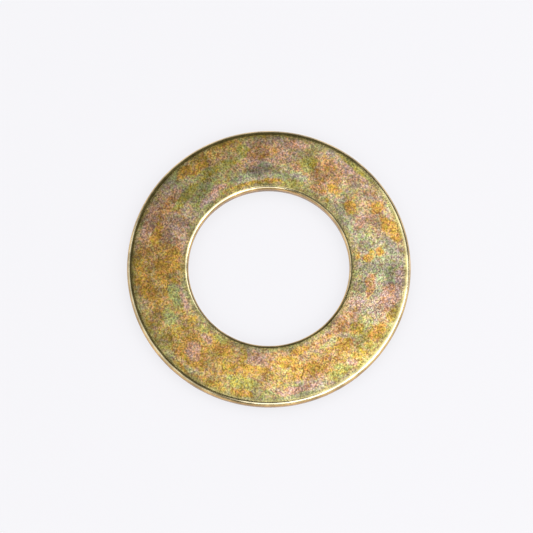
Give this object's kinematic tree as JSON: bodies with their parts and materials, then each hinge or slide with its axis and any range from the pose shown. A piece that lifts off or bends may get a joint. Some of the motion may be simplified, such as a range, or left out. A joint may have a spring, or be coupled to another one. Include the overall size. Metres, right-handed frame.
{
  "type": "flat washer",
  "caption": "Flat round ring of plated sheet steel that spreads the load of a bolt head or nut, with a plain bore, rolled upper edges and broken lower walls.",
  "frame": {"origin": "on the bore axis, in the plane of the bottom face, which is the burr side that the washer lies on", "axes": "+Z along the bore axis, from the burr side towards the face with the rolled edges; the ring is round about Z, so X and Y are free"},
  "size_m": [0.037, 0.037, 0.002],
  "materials": {
    "chromated_zinc": "satin sheet steel, zinc plated and yellow chromated: straw gold that wanders through orange, mauve, grey-teal and olive green, over a fine salt-and-pepper grain"
  },
  "bodies": {
    "root": {"washer": "chromated_zinc"}
  },
  "joints": []
}
